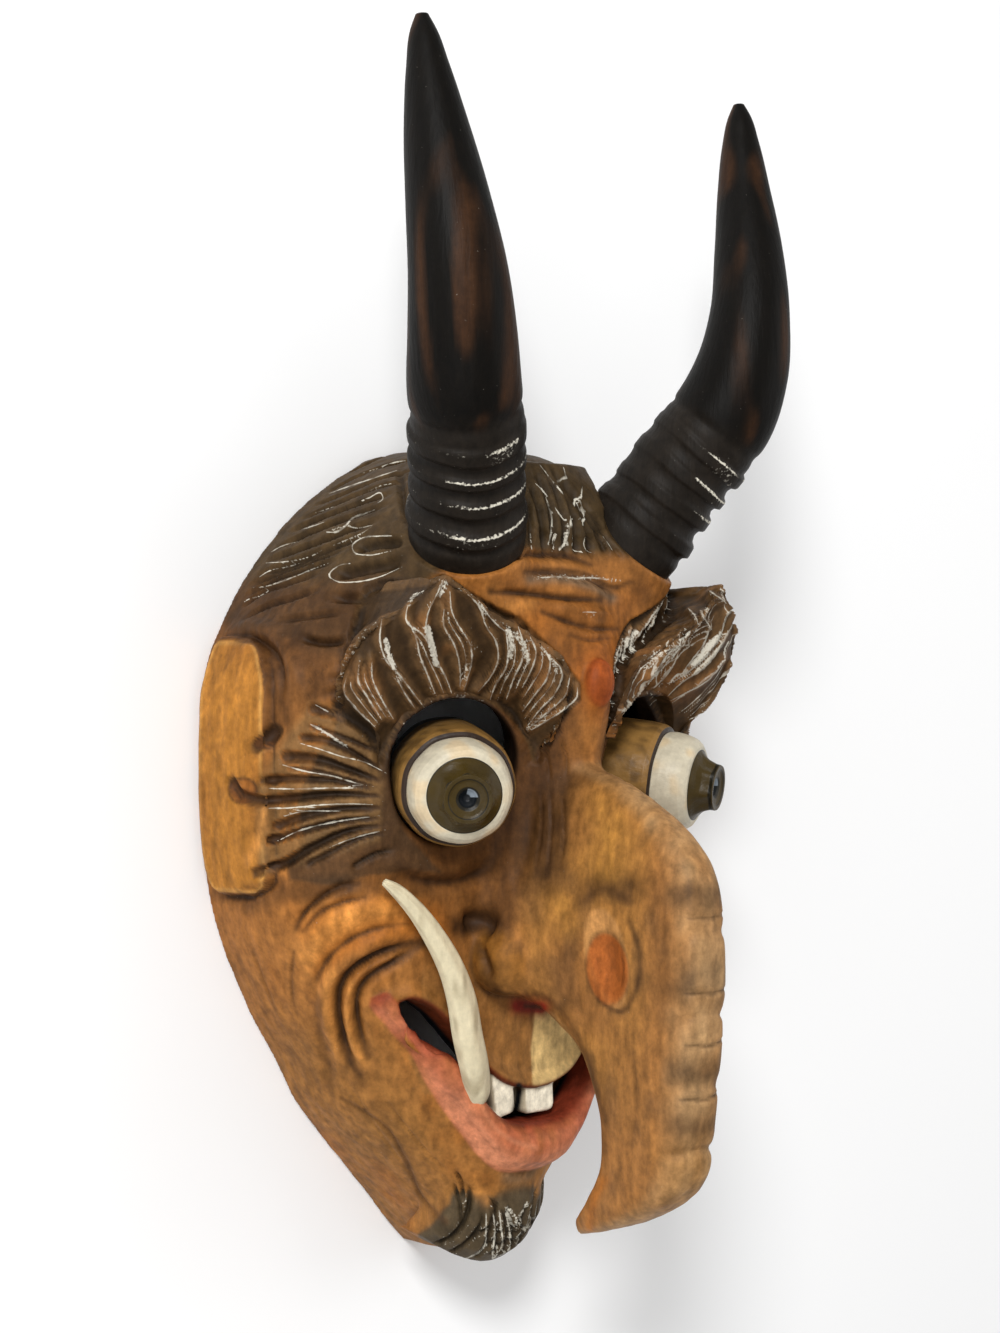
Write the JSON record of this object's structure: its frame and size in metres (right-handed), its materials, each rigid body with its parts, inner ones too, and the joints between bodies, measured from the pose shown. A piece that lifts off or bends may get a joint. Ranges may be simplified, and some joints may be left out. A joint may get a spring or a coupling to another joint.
{
  "type": "carved carnival mask",
  "caption": "Hollow carved wooden demon mask lying on its back rim, with horns, turned stalk eyes, tusks, a trunk nose, smiling lips and a beard.",
  "frame": {"origin": "centre of the bounding box on the plane of the back rim", "axes": "+X to the left of the masked face (picture right), +Y up the face towards the horn tips, +Z out of the face; the back rim lies on Z = 0"},
  "size_m": [0.2224, 0.4757, 0.173],
  "materials": {
    "face_wood": "satin stained and hand-painted wood",
    "horn_wood": "satin dark brown stained wood",
    "eye_wood": "satin painted turned wood, cream, olive and dark brown",
    "tusk_wood": "satin cream painted wood"
  },
  "bodies": {
    "root": {"mask_face": "face_wood", "horn_right": "horn_wood", "horn_left": "horn_wood", "eye_right": "eye_wood", "eye_left": "eye_wood", "tusk_right": "tusk_wood", "tusk_left": "tusk_wood"}
  },
  "joints": []
}
